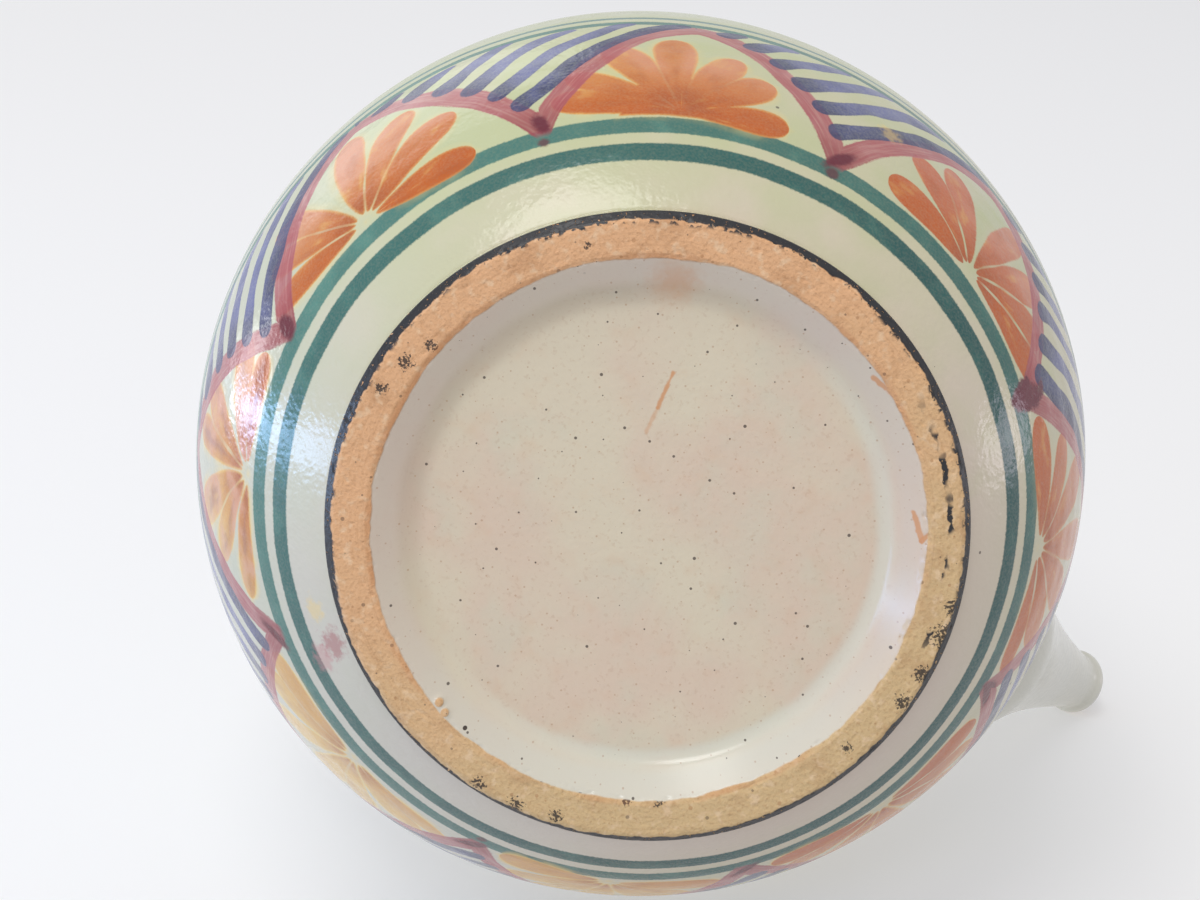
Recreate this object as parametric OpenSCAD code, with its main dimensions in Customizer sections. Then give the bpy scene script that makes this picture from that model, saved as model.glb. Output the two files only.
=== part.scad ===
// Globular terracotta jug, tin-glazed, with a trumpet spout and a strap handle.
// The jug stands upright on its foot ring: +Z is up, the origin is the centre of the resting face,
// the spout points along +X and the handle is opposite. All sizes are in millimetres.

/* [Foot] */
// Outer diameter of the foot ring
foot_d = 120; // [100:1:124]
// Width of the foot ring's underside
foot_w = 8; // [5:0.5:14]
// Height of the foot ring, and so the depth of the recess under the base
foot_h = 5.2; // [3:0.1:9]
// Width of the slope that leads from the foot ring up to the base, under the jug
foot_slope = 7.5; // [4:0.5:15]
// Worn bevel round the outer edge of the foot ring
foot_bevel = 1.6; // [0.4:0.1:2.4]

/* [Body] */
// Greatest diameter of the belly
belly_d = 190; // [176:1:220]
// Height of the greatest diameter
belly_z = 76.5; // [68:0.5:84]
// Radius of the curve that the belly's outline follows
belly_curve = 90; // [87:0.5:98]
// Thickness of the thrown wall
wall = 6; // [4:0.5:9]
// Thickness of the base
base_t = 8; // [5:0.5:12]
// Fillet between base and wall, inside
base_fillet = 14; // [4:1:24]

/* [Neck] */
// Outer diameter of the neck where it stands on the shoulder
neck_d = 68; // [60:1:78]
// Height of the neck above the shoulder
neck_h = 46; // [36:1:64]
// Wall of the neck
neck_wall = 5; // [3.5:0.5:8]
// Outer diameter of the mouth under its rolled rim
mouth_d = 86; // [82:1:104]
// Thickness of the rolled rim
rim_t = 8; // [6:0.5:11]
// Thickness of the clay coil that lutes the neck to the shoulder
neck_coil_t = 7; // [4:0.5:10]
// Distance of that coil's middle from the foot of the neck
neck_coil_out = 1.2; // [0.4:0.1:2]

/* [Spout] */
// Distance of the spout's lip from the jug's axis
spout_reach = 137.5; // [128:0.5:150]
// Height of the spout's lip
spout_z = 150; // [140:1:164]
// Rise of the spout above the horizontal, in degrees
spout_rise = 39; // [32:1:46]
// Outer diameter of the tube just behind its rolled lip
spout_tip_d = 13; // [11:0.5:17]
// Taper of the tube at its lip, in degrees
spout_taper = 9; // [4:0.5:12]
// Radius of the hollow trumpet curve that follows
spout_curve = 190; // [150:5:300]
// Outer diameter of the spout's bulb, on the body
spout_base_d = 48; // [42:1:54]
// Radius of the round that leads from the trumpet curve to the bulb
spout_bulb = 18; // [8:1:20]
// Wall of the spout
spout_wall = 2.4; // [2:0.2:4]
// Thickness of the spout's rolled lip
spout_lip_t = 4; // [3:0.2:6]
// Hole pierced through the body behind the spout
spout_hole_d = 26; // [14:1:32]
// Width of the clay coil that lutes the spout to the body
spout_coil_t = 4; // [2:0.5:7]

/* [Handle] */
// Height of the strap's upper root, on the neck
handle_top = 190; // [182:1:196]
// Height of the strap's lower root, on the body
handle_low = 117; // [108:1:128]
// Distance of the middle of the strap from the jug's axis
handle_reach = 89; // [84:1:104]
// How far the strap springs upward as it leaves the neck
handle_spring = 14; // [0:1:24]
// How far above its lower root the strap starts to turn in to the body
handle_knee = 44; // [34:1:54]
// Width of the strap at its upper root
strap_top_w = 30; // [22:1:36]
// Width of the strap at its lower root
strap_low_w = 23; // [16:1:30]
// Thickness of the strap
strap_t = 11; // [8:0.5:15]
// Width of the clay coils that lute the strap at both roots
strap_coil_t = 3.5; // [2:0.5:6]

/* [Hidden] */
$fn = 180;
glaze = [0.80, 0.82, 0.71];
clay = [0.84, 0.58, 0.37];
// Steps along the strap, points round its section, and how square that section is
strap_steps = 30;
strap_sides = 20;
strap_square = 2.5;
// Steps at each end of the strap that its luting coils go round
root_steps = 8;
// How far a cutting shape runs past what it cuts
past = 1;

foot_r = foot_d / 2;
foot_in_r = foot_r - foot_w;
slope_r = foot_in_r - foot_slope;

belly_off = belly_d / 2 - belly_curve;
base_z = foot_h + base_t;
cavity_curve = belly_curve - wall;
fillet_z = base_z + base_fillet;
fillet_off = sqrt(pow(cavity_curve - base_fillet, 2) - pow(belly_z - fillet_z, 2));
fillet_x = belly_off + fillet_off;

neck_r = neck_d / 2;
mouth_r = mouth_d / 2;
shoulder_z = shoulder_height(neck_r);
neck_flare = mouth_r - neck_r;
neck_curve = (neck_h * neck_h + neck_flare * neck_flare) / (2 * neck_flare);
mouth_z = shoulder_z + neck_h;

// The spout's axis meets the belly's curve this far behind the lip
spout_dx = spout_reach - belly_off;
spout_dz = spout_z - belly_z;
spout_along = spout_dx * cos(spout_rise) + spout_dz * sin(spout_rise);
spout_aside = spout_dz * cos(spout_rise) - spout_dx * sin(spout_rise);
spout_l = spout_along - sqrt(belly_curve * belly_curve - spout_aside * spout_aside);
spout_tip_r = spout_tip_d / 2;
spout_base_r = spout_base_d / 2;
spout_deep = spout_l + spout_base_r;
// Centres of the trumpet curve and of the bulb's round, which touch each other
trumpet_x = spout_tip_r + spout_curve * cos(spout_taper);
trumpet_z = spout_curve * sin(spout_taper);
bulb_x = spout_base_r - spout_bulb;
bulb_z = trumpet_z - sqrt(pow(spout_curve + spout_bulb, 2) - pow(trumpet_x - bulb_x, 2));

// The strap's centreline is one cubic curve from inside the neck's wall to inside the body's wall
strap_start = neck_radius(handle_top) - neck_wall / 2;
strap_end = belly_radius(handle_low) - wall / 2;
strap_pull = (8 * handle_reach - strap_start - strap_end) / 6;
strap_curve = [
    [strap_start, handle_top],
    [strap_pull, handle_top + handle_spring],
    [strap_pull, handle_low + handle_knee],
    [strap_end, handle_low]
];

function belly_radius(z) = belly_off + sqrt(belly_curve * belly_curve - pow(z - belly_z, 2));
function shoulder_height(r) = belly_z + sqrt(belly_curve * belly_curve - pow(r - belly_off, 2));
function neck_radius(z) = neck_r + neck_curve - sqrt(neck_curve * neck_curve - pow(z - shoulder_z, 2));

function strap_point(t) =
    pow(1 - t, 3) * strap_curve[0] + 3 * pow(1 - t, 2) * t * strap_curve[1]
    + 3 * (1 - t) * t * t * strap_curve[2] + pow(t, 3) * strap_curve[3];
function strap_slope(t) =
    3 * pow(1 - t, 2) * (strap_curve[1] - strap_curve[0])
    + 6 * (1 - t) * t * (strap_curve[2] - strap_curve[1])
    + 3 * t * t * (strap_curve[3] - strap_curve[2]);
function rounded(c) = sign(c) * pow(abs(c), 2 / strap_square);

// One ring of the strap's section, in the plane square to its centreline
function strap_ring(t) =
    let (
        p = strap_point(t),
        slope = strap_slope(t) / norm(strap_slope(t)),
        half_w = (strap_top_w + (strap_low_w - strap_top_w) * t) / 2,
        half_t = strap_t / 2
    )
    [for (i = [0 : strap_sides - 1])
        let (
            a = 360 * i / strap_sides,
            across = half_t * rounded(sin(a)),
            aside = half_w * rounded(cos(a))
        )
        [-(p[0] - across * slope[1]), aside, p[1] + across * slope[0]]
    ];

// Outline of the belly, filled, with its surface moved outward by grow
module belly_outline(grow = 0) {
    intersection() {
        translate([belly_off, belly_z])
            circle(r = belly_curve + grow);
        translate([0, foot_h])
            square([belly_d, shoulder_z - foot_h]);
    }
}

module cavity_outline() {
    difference() {
        intersection() {
            translate([belly_off, belly_z])
                circle(r = cavity_curve);
            translate([0, base_z])
                square([belly_d, shoulder_z - base_z]);
        }
        base_corner();
    }
    translate([0, belly_z])
        square([neck_r - neck_wall, shoulder_z - belly_z + past]);
}

// Clay left in the corner between base and wall by the inner fillet
module base_corner() {
    toward = [fillet_off, fillet_z - belly_z] / (cavity_curve - base_fillet);
    difference() {
        polygon([
            [fillet_x, fillet_z],
            [fillet_x, base_z - past],
            [fillet_x + base_fillet * 2, base_z - past],
            [belly_off, belly_z] + toward * (cavity_curve + wall / 2)
        ]);
        translate([fillet_x, fillet_z])
            circle(r = base_fillet);
    }
}

// Outline of the neck, filled, with its surface moved outward by grow
module neck_outline(grow = 0) {
    difference() {
        translate([0, shoulder_z])
            square([mouth_r + grow, neck_h]);
        translate([neck_r + neck_curve, shoulder_z])
            circle(r = neck_curve - grow);
    }
}

module rim_outline() {
    translate([mouth_r - neck_wall / 2, mouth_z])
        circle(d = rim_t);
}

// Outline of the spout along its own axis, filled, with the lip at zero and the bulb below,
// and with its surface moved outward by grow
module spout_outline(grow = 0) {
    difference() {
        translate([0, -spout_deep])
            square([spout_base_r + grow, spout_deep]);
        translate([trumpet_x, trumpet_z])
            circle(r = spout_curve - grow);
        bulb_corner(grow);
    }
}

// Clay that the bulb's round takes off between the trumpet curve and the widest part
module bulb_corner(grow) {
    bulb = [bulb_x, bulb_z];
    toward = [trumpet_x, trumpet_z] - bulb;
    difference() {
        polygon([
            bulb,
            bulb + [norm(toward), 0],
            bulb + toward
        ]);
        translate(bulb)
            circle(r = spout_bulb + grow);
    }
}

module spout_lip_outline() {
    translate([spout_tip_r - spout_wall + spout_lip_t / 2, -spout_lip_t / 2])
        circle(d = spout_lip_t);
}

module at_spout() {
    translate([spout_reach, 0, spout_z])
        rotate([0, 90 - spout_rise, 0])
            children();
}

module belly_solid(grow = 0) {
    rotate_extrude()
        belly_outline(grow);
}

module neck_solid(grow = 0) {
    rotate_extrude()
        neck_outline(grow);
}

module spout_solid(grow = 0) {
    at_spout()
        rotate_extrude()
            spout_outline(grow);
}

// The strap, swept along its curve from one step to another
module strap_solid(first = 0, final = strap_steps) {
    points = [for (k = [first : final]) each strap_ring(k / strap_steps)];
    last = (final - first) * strap_sides;
    sides = [
        for (k = [0 : final - first - 1], i = [0 : strap_sides - 1])
            let (
                a = k * strap_sides + i,
                b = k * strap_sides + (i + 1) % strap_sides
            )
            each [[a, b, b + strap_sides], [a, b + strap_sides, a + strap_sides]]
    ];
    first_cap = [for (i = [strap_sides - 1 : -1 : 0]) i];
    last_cap = [for (i = [0 : strap_sides - 1]) last + i];
    polyhedron(points, concat(sides, [first_cap, last_cap]));
}

// The half of space behind the jug's axis, where the handle is
module handle_side() {
    translate([-2 * handle_reach, -handle_reach, 0])
        cube([2 * handle_reach, 2 * handle_reach, 2 * mouth_z]);
}

// A bar round one root of the strap, wider than it by the luting coil, along its centreline
module root_bar(t, strap_w) {
    p = strap_point(t);
    slope = strap_slope(t);
    bar_t = strap_t + 2 * strap_coil_t;
    bar_l = 2 * (strap_w + bar_t);
    translate([-p[0], 0, p[1]])
        rotate([0, atan2(-slope[0], slope[1]), 0])
            translate([0, 0, -bar_l / 2])
                linear_extrude(bar_l) {
                    square([bar_t, strap_w - strap_t], center = true);
                    for (side = [-1, 1])
                        translate([0, side * (strap_w - strap_t) / 2])
                            circle(d = bar_t);
                }
}

module foot_ring() {
    color(clay)
    rotate_extrude()
        polygon([
            [foot_in_r, 0],
            [foot_r - foot_bevel, 0],
            [foot_r, foot_bevel],
            [belly_radius(foot_h), foot_h],
            [slope_r, foot_h]
        ]);
}

module body() {
    color(glaze)
    difference() {
        rotate_extrude()
            difference() {
                belly_outline();
                cavity_outline();
            }
        at_spout()
            translate([0, 0, -spout_deep])
                cylinder(d = spout_hole_d, h = spout_deep);
    }
}

module neck() {
    color(glaze)
    rotate_extrude() {
        difference() {
            neck_outline();
            neck_outline(-neck_wall);
        }
        rim_outline();
    }
}

module neck_coil() {
    color(glaze)
    rotate_extrude()
        difference() {
            translate([neck_r + neck_coil_out, shoulder_z])
                circle(d = neck_coil_t);
            belly_outline();
            neck_outline();
        }
}

module spout() {
    color(glaze)
    difference() {
        at_spout()
            rotate_extrude() {
                difference() {
                    spout_outline();
                    spout_outline(-spout_wall);
                }
                spout_lip_outline();
            }
        belly_solid();
    }
}

module spout_coil() {
    color(glaze)
    difference() {
        intersection() {
            spout_solid(spout_coil_t);
            belly_solid(spout_coil_t);
        }
        spout_solid();
        belly_solid();
    }
}

module handle() {
    color(glaze)
    difference() {
        strap_solid();
        belly_solid();
        neck_solid();
    }
}

module handle_top_coil() {
    color(glaze)
    difference() {
        intersection() {
            root_bar(0, strap_top_w);
            neck_solid(strap_coil_t);
            handle_side();
        }
        strap_solid(0, root_steps);
        neck_solid();
    }
}

module handle_low_coil() {
    color(glaze)
    difference() {
        intersection() {
            root_bar(1, strap_low_w);
            belly_solid(strap_coil_t);
            handle_side();
        }
        strap_solid(strap_steps - root_steps, strap_steps);
        belly_solid();
    }
}

foot_ring();
body();
neck();
neck_coil();
spout();
spout_coil();
handle();
handle_top_coil();
handle_low_coil();
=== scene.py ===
import math
from functools import partialmethod, reduce

import bmesh
import bpy
import numpy as np
from mathutils import Matrix, Vector, noise


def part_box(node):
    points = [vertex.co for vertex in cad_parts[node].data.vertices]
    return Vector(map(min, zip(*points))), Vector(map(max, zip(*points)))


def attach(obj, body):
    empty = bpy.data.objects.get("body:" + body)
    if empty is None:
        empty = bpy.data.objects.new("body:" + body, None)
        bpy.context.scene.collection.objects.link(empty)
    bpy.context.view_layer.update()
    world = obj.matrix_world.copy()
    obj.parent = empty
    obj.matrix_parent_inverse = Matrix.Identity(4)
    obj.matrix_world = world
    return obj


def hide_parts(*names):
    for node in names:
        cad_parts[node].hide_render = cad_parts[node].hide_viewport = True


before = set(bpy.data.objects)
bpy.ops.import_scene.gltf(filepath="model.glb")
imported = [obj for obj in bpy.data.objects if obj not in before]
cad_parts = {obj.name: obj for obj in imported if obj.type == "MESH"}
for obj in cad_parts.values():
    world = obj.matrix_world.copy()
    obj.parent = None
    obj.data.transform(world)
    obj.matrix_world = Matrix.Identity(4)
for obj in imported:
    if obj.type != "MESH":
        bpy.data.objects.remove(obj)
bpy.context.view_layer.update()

MM = 0.001


def reach(node, corner, axis):
    """One side of a solid's box, in millimetres: corner 0 is the lowest and 1 the highest."""
    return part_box(node)[corner][axis] / MM


# Sizes read from the solids
FOOT_R = reach("foot_ring", 1, 0)
FOOT_H = reach("foot_ring", 1, 2)
BELLY_R = reach("body", 1, 1)
SHOULDER_Z = reach("body", 1, 2)

# Body
BELLY_CURVE = 90.0
BELLY_OFF = BELLY_R - BELLY_CURVE
BELLY_Z = 76.5
WALL = 6.0
BASE_T = 8.0
BASE_FILLET = 14.0

# Foot
FOOT_W = 8.0
FOOT_SLOPE = 7.5
SLOPE_R = FOOT_R - FOOT_W - FOOT_SLOPE
FOOT_BEVEL = 1.6
FOOT_FILLET = 6.0

# Neck
NECK_R = 34.0
NECK_H = 46.0
NECK_WALL = 5.0
MOUTH_R = 43.0
RIM_T = 8.0
NECK_CURVE = (NECK_H**2 + (MOUTH_R - NECK_R) ** 2) / (2 * (MOUTH_R - NECK_R))
MOUTH_Z = SHOULDER_Z + NECK_H
NECK_FILLET = 7.0

# Spout
SPOUT_TIP = np.array([137.5, 0.0, 150.0])
SPOUT_RISE = math.radians(39)
SPOUT_TIP_R = 6.5
SPOUT_TAPER = math.radians(9)
SPOUT_CURVE = 190.0
SPOUT_BASE_R = 24.0
SPOUT_BULB = 18.0
SPOUT_WALL = 2.4
SPOUT_LIP_T = 4.0
SPOUT_FILLET = 6.0
SPOUT_ROOT = 60.0

# Handle
HANDLE_TOP = 190.0
HANDLE_LOW = 117.0
HANDLE_REACH = 89.0
HANDLE_SPRING = 14.0
HANDLE_KNEE = 44.0
STRAP_TOP_W = 30.0
STRAP_LOW_W = 23.0
STRAP_T = 11.0
STRAP_SQUARE = 2.5
STRAP_GROOVE = 0.7
GROOVE_SHARE = 0.35
STRAP_FILLET = 5.0

# Decoration: where its eight scallops meet, in degrees round from the spout
JUNCTIONS = (-5, 42, 83, 128, 174, 222, 265, 310)
SECTORS = len(JUNCTIONS)


# Shapes

def thrown(points, ridges=0.0):
    """Points moved in or out a little, as a thrown wall is never quite round and keeps its ridges."""
    x, y, z = points[..., 0], points[..., 1], points[..., 2]
    turn = np.arctan2(y, x)
    out = np.hypot(x, y)
    swell = (
        0.22 * np.sin(2 * turn + z / 31 + 0.9)
        + 0.14 * np.sin(3 * turn - z / 23 - 0.4)
        + ridges * np.sin(z + 0.7 * np.sin(turn))
    )
    grow = 1 + swell * np.clip((out - 20) / 20, 0, 1) / np.maximum(out, 1)
    return np.stack([x * grow, y * grow, z], -1)


def arc(centre, radius, first, last, steps):
    """Points on a circle's arc in a plane, from one angle to another, in radians."""
    angles = np.linspace(first, last, steps)
    return np.stack([centre[0] + radius * np.cos(angles), centre[1] + radius * np.sin(angles)], -1)


def line(start, end, steps):
    """Evenly spaced points from start up to but not at end."""
    share = np.linspace(0, 1, steps, endpoint=False)[:, None]
    return np.asarray(start, float) * (1 - share) + np.asarray(end, float) * share


def whole_turn(segments):
    return np.linspace(0, 2 * math.pi, segments + 1)


def revolve(outline, segments, first_angle=0.0):
    """A grid of points: an outline of (radius, height) pairs turned about the jug's axis."""
    turn = first_angle + whole_turn(segments)
    out = outline[:, :1]
    height = np.broadcast_to(outline[:, 1:], (len(outline), segments + 1))
    return np.stack([out * np.cos(turn), out * np.sin(turn), height], -1)


def belly_gap(points):
    """How far points lie outside the belly's surface."""
    out = np.hypot(points[..., 0], points[..., 1])
    return np.hypot(out - BELLY_OFF, points[..., 2] - BELLY_Z) - BELLY_CURVE


def neck_radius(z):
    return NECK_R + NECK_CURVE - np.sqrt(NECK_CURVE**2 - (z - SHOULDER_Z) ** 2)


def neck_gap(points):
    """How far points lie outside the neck's hollow curve."""
    out = np.hypot(points[..., 0], points[..., 1])
    return NECK_CURVE - np.hypot(out - NECK_R - NECK_CURVE, points[..., 2] - SHOULDER_Z)


def unit(vectors):
    return vectors / np.linalg.norm(vectors, axis=-1, keepdims=True)


def slope_of(gap, points, step=0.01):
    """The unit direction in which a gap grows fastest."""
    moves = np.eye(3) * step
    return unit(np.stack([gap(points + m) - gap(points - m) for m in moves], -1))


def outward(rails, middle):
    """Unit normals at rails[i, k], lines that run along a closed wall, pointing away from middle."""
    along = np.gradient(rails, axis=1)
    around = np.gradient(rails, axis=0)
    around[0] = around[-1] = rails[1] - rails[-2]
    normals = unit(np.cross(along, around))
    return normals * np.sign(((rails - middle) * normals).sum(-1, keepdims=True))


def fillet(rails, normals, gap, radius, steps=10):
    """A closed collar of smoothed clay between a piece and the wall that it stands on.

    rails[i, k] are points on the piece, running towards the wall, and normals[i, k] point out of it.
    A ball of the given radius rolls round the corner, and the collar is what it leaves below it.
    """
    under = 0.6
    centres = rails + normals * radius
    off = gap(centres) - radius
    first = np.argmax(off < 0, axis=1)
    rows = np.arange(len(rails))
    share = (off[rows, first - 1] / (off[rows, first - 1] - off[rows, first]))[:, None]

    def at(values):
        return values[rows, first - 1] * (1 - share) + values[rows, first] * share

    centre, on_piece = at(centres), at(rails)
    out = unit(on_piece - centre)
    into = -slope_of(gap, centre)
    angle = np.arccos(np.clip((out * into).sum(-1), -1, 1))[:, None]
    ring = []
    for share in np.linspace(0, 1, steps):
        toward = (out * np.sin((1 - share) * angle) + into * np.sin(share * angle)) / np.sin(angle)
        ring.append(centre + radius * toward)
    ring += [centre + way * (radius + under) for way in (into, out + into, out)]
    return np.stack(ring + ring[:1])


# Meshes

def add_object(name, data):
    added = bpy.data.objects.new(name, data)
    bpy.context.collection.objects.link(added)
    return added


def mesh_piece(name, grid, uv_maps=(), zones=None):
    """An object from a grid of points, whose doubled edges and poles are joined.

    uv_maps are pairs of a name and a function of a face corner's row and column.
    zones gives each row of faces the number of its material.
    """
    rows, columns = grid.shape[:2]
    row, column = np.meshgrid(np.arange(rows - 1), np.arange(columns - 1), indexing="ij")
    corner_row = np.stack([row, row, row + 1, row + 1], -1).reshape(-1, 4)
    corner_column = np.stack([column, column + 1, column + 1, column], -1).reshape(-1, 4)
    mesh = bpy.data.meshes.new(name)
    mesh.from_pydata(
        (grid.reshape(-1, 3) * MM).tolist(), [], (corner_row * columns + corner_column).tolist()
    )
    for map_name, place in uv_maps:
        layer = mesh.uv_layers.new(name=map_name)
        layer.data.foreach_set("uv", place(corner_row.ravel(), corner_column.ravel()).ravel())
    if zones is not None:
        mesh.polygons.foreach_set("material_index", np.repeat(zones, columns - 1).astype(np.int32))
    work = bmesh.new()
    work.from_mesh(mesh)
    bmesh.ops.remove_doubles(work, verts=work.verts, dist=2e-6)
    bmesh.ops.recalc_face_normals(work, faces=work.faces)
    for face in work.faces:
        face.smooth = True
    work.to_mesh(mesh)
    work.free()
    return add_object(name, mesh)


def dress(piece, node, slot, *materials):
    """The piece stands for a solid, takes the materials given and moves with the jug; slot is not used.
    """
    for material in materials:
        piece.data.materials.append(material)
    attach(piece, "root")
    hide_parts(node)
    return piece


def make_plain(name, grid, node, look):
    """A hand-thrown piece in plain glaze."""
    return dress(mesh_piece(name, thrown(grid)), node, "plain_glaze", look)


# Shader nodes

def srgb(red, green, blue):
    """A colour as a screen shows it, from 0 to 255, turned into what shaders take."""
    def linear(share):
        return share / 12.92 if share <= 0.04045 else ((share + 0.055) / 1.055) ** 2.4

    return (linear(red / 255), linear(green / 255), linear(blue / 255), 1.0)


def feed(slot, value):
    """Links a field or a socket to an input, or sets the input to a plain value."""
    value = getattr(value, "socket", value)
    if isinstance(value, bpy.types.NodeSocket):
        slot.id_data.links.new(value, slot)
    else:
        slot.default_value = value


def add_node(tree, kind, **inputs):
    """A new shader node, with inputs fed by their names."""
    node = tree.nodes.new("ShaderNode" + kind)
    for name, value in inputs.items():
        feed(node.inputs[name], value)
    return node


class Field:
    """One number at each point of a surface, worked out by shader nodes."""

    def __init__(self, socket):
        self.socket = socket
        self.tree = socket.id_data

    def math(self, operation, *others):
        node = add_node(self.tree, "Math")
        node.operation = operation
        for slot, value in zip(node.inputs, (self, *others)):
            feed(slot, value)
        return Field(node.outputs[0])

    __add__ = __radd__ = partialmethod(math, "ADD")
    __sub__ = partialmethod(math, "SUBTRACT")
    __mul__ = partialmethod(math, "MULTIPLY")
    __truediv__ = partialmethod(math, "DIVIDE")
    __pow__ = partialmethod(math, "POWER")
    __abs__ = partialmethod(math, "ABSOLUTE")
    least = partialmethod(math, "MINIMUM")
    most = partialmethod(math, "MAXIMUM")
    fraction = partialmethod(math, "FRACT")

    def __neg__(self):
        return self * -1

    def __rsub__(self, other):
        return -self + other

    def hypot(self, *others):
        squares = [side * side for side in (self, *others)]
        return reduce(Field.__add__, squares).math("SQRT")

    def step(self, low, high):
        """0 below low, 1 above high and smooth between; low above high turns it round."""
        node = add_node(self.tree, "MapRange", **{"Value": self, "From Min": low, "From Max": high})
        node.interpolation_type = "SMOOTHSTEP"
        return Field(node.outputs["Result"])


def united(masks):
    """One mask that covers what any of several masks covers."""
    return reduce(Field.most, masks)


class Shader:
    """A material built from fields over a surface, in millimetres of the part's frame."""

    def __init__(self, name):
        self.material = bpy.data.materials.new(name)
        self.material.use_nodes = True
        self.tree = self.material.node_tree
        self.surface = self.tree.nodes["Principled BSDF"]
        scaled = add_node(self.tree, "VectorMath")
        scaled.operation = "SCALE"
        feed(scaled.inputs[0], add_node(self.tree, "TexCoord").outputs["Object"])
        feed(scaled.inputs["Scale"], 1 / MM)
        self.place = scaled.outputs[0]
        self.x, self.y, self.z = self.split(self.place)
        self.out = self.x.hypot(self.y)

    def split(self, vector):
        node = add_node(self.tree, "SeparateXYZ")
        feed(node.inputs[0], vector)
        return [Field(socket) for socket in node.outputs]

    def join(self, x, y, z=0.0):
        node = add_node(self.tree, "CombineXYZ")
        for slot, value in zip(node.inputs, (x, y, z)):
            feed(slot, value)
        return node.outputs[0]

    def map(self, name):
        """The two fields of a UV map."""
        node = add_node(self.tree, "UVMap")
        node.uv_map = name
        return self.split(node.outputs[0])[:2]

    def noise(self, size, detail=2.0, rough=0.5, at=None):
        """Cloudy values about 0.5, with lumps of a size in millimetres."""
        at = self.place if at is None else self.join(*at)
        lumps = {"Scale": 1 / size, "Detail": detail, "Roughness": rough}
        node = add_node(self.tree, "TexNoise", Vector=at, **lumps)
        return Field(node.outputs[0])

    def spots(self, size, radius, share, flat=False):
        """1 inside scattered round spots: one per cell of a size, on a share of the cells."""
        node = add_node(self.tree, "TexVoronoi", Vector=self.place, Scale=1 / size)
        node.voronoi_dimensions = "2D" if flat else "3D"
        lot = self.split(node.outputs["Color"])
        wide = lot[1] * (radius / size)
        near = (Field(node.outputs["Distance"]) / wide.most(1e-4)).step(1.1, 0.8)
        return near * lot[0].step(1 - share, 1 - share + 0.01)

    def towards(self, side, radius):
        """How far a point lies towards a side of the jug, as a share of a radius."""
        return (self.x * side[0] + self.y * side[1]) / radius

    def from_point(self, point):
        """Distance from a point, seen along the jug's axis."""
        return (self.x - point[0]).hypot(self.y - point[1])

    def from_line(self, start, end):
        """Distance from a straight stroke between two points, seen along the jug's axis."""
        run, rise = end[0] - start[0], end[1] - start[1]
        x, y = self.x - start[0], self.y - start[1]
        share = ((x * run + y * rise) / (run**2 + rise**2)).most(0.0).least(1.0)
        return (x - share * run).hypot(y - share * rise)

    def chance(self, number):
        """A random value from 0 to 1 that belongs to a number."""
        node = add_node(self.tree, "TexWhiteNoise")
        node.noise_dimensions = "1D"
        feed(node.inputs["W"], number)
        return Field(node.outputs["Value"])

    def mix(self, amount, below, above):
        node = add_node(self.tree, "Mix")
        node.data_type = "RGBA"
        feed(node.inputs[0], amount)
        feed(node.inputs[6], below)
        feed(node.inputs[7], above)
        return node.outputs[2]

    def coat(self, colour, *washes):
        """A colour under washes laid on in turn, each a pair of an amount and a tint."""
        for amount, tint in washes:
            colour = self.mix(amount, colour, tint)
        return colour

    def relief(self, *layers):
        """Bump from pairs of a height field and its depth in millimetres."""
        normal = None
        for height, depth in layers:
            node = add_node(self.tree, "Bump", Strength=1.0, Distance=depth * MM, Height=height)
            if normal is not None:
                feed(node.inputs["Normal"], normal)
            normal = node.outputs[0]
        feed(self.surface.inputs["Normal"], normal)

    def set(self, name, value):
        feed(self.surface.inputs[name], value)


# Glaze and clay

CELADON = srgb(189, 193, 148)
CREAM = srgb(206, 197, 167)
LILAC = srgb(214, 198, 183)
# Painted cool window light, laid on the glaze towards the window's side
WINDOW_LIGHT_GREY = srgb(204, 199, 187)
WHITE = srgb(222, 221, 214)
PINHOLE = srgb(74, 62, 54)
TEAL = srgb(14, 78, 76)
TEAL_THIN = srgb(88, 140, 124)
SALMON = srgb(195, 103, 62)
BLUSH = srgb(220, 154, 126)
AMBER = srgb(216, 148, 58)
ORANGE = srgb(189, 87, 0)
RUST = srgb(164, 76, 30)
YELLOW = srgb(242, 204, 112)
PLUM = srgb(128, 66, 84)
ROSE = srgb(168, 80, 88)
ROSE_THIN = srgb(200, 136, 136)
ROSE_DEEP = srgb(140, 50, 58)
MAROON = srgb(98, 14, 38)
BLUE = srgb(98, 102, 150)
NAVY = srgb(50, 54, 94)
BASE_CREAM = srgb(220, 206, 180)
BASE_PINK = srgb(220, 197, 174)
BASE_GREEN = srgb(208, 208, 184)
BASE_LILAC = srgb(213, 198, 184)
BASE_PEACH = srgb(230, 200, 174)
# Painted shade in the corner of the base's slope
BASE_SHADE = srgb(170, 150, 130)
# A painted highlight round the corner of the base's slope
CORNER_HIGHLIGHT = srgb(216, 216, 200)
SCAR = srgb(210, 144, 92)
TERRACOTTA = srgb(228, 176, 130)
TAN = srgb(214, 182, 134)
CLAY_DARK = srgb(170, 118, 76)
CLAY_PALE = srgb(240, 208, 170)
BURNT = srgb(204, 132, 82)
SOOT = srgb(44, 40, 40)
LINE_BLACK = srgb(34, 33, 36)

# Sides of the jug, as directions across its axis: two of the wall, two of the base and one of the foot.
# The wall's two paint light into the glaze: creamier and greener towards the side lit from above,
# greyer towards the side that the cool window lights. The base's two place a painted highlight in its
# corner on the lit side and painted shade opposite, beside a peach tint; the foot's clay took a tan
# tint in the kiln.
LIT_SIDE = (-0.87, -0.50)
WINDOW_SIDE = (-0.57, 0.82)
WARM_AND_LIT_SIDE = (0.95, 0.30)
HIGHLIGHT_SIDE = (0.55, 0.84)
TAN_SIDE = (0.85, 0.53)
# Dimples in the glaze's skin: their width, their detail and their depth
DIMPLES = ((14, 1.0, 0.2), (4.5, 2.0, 0.12), (1.2, 1.0, 0.08))


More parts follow.
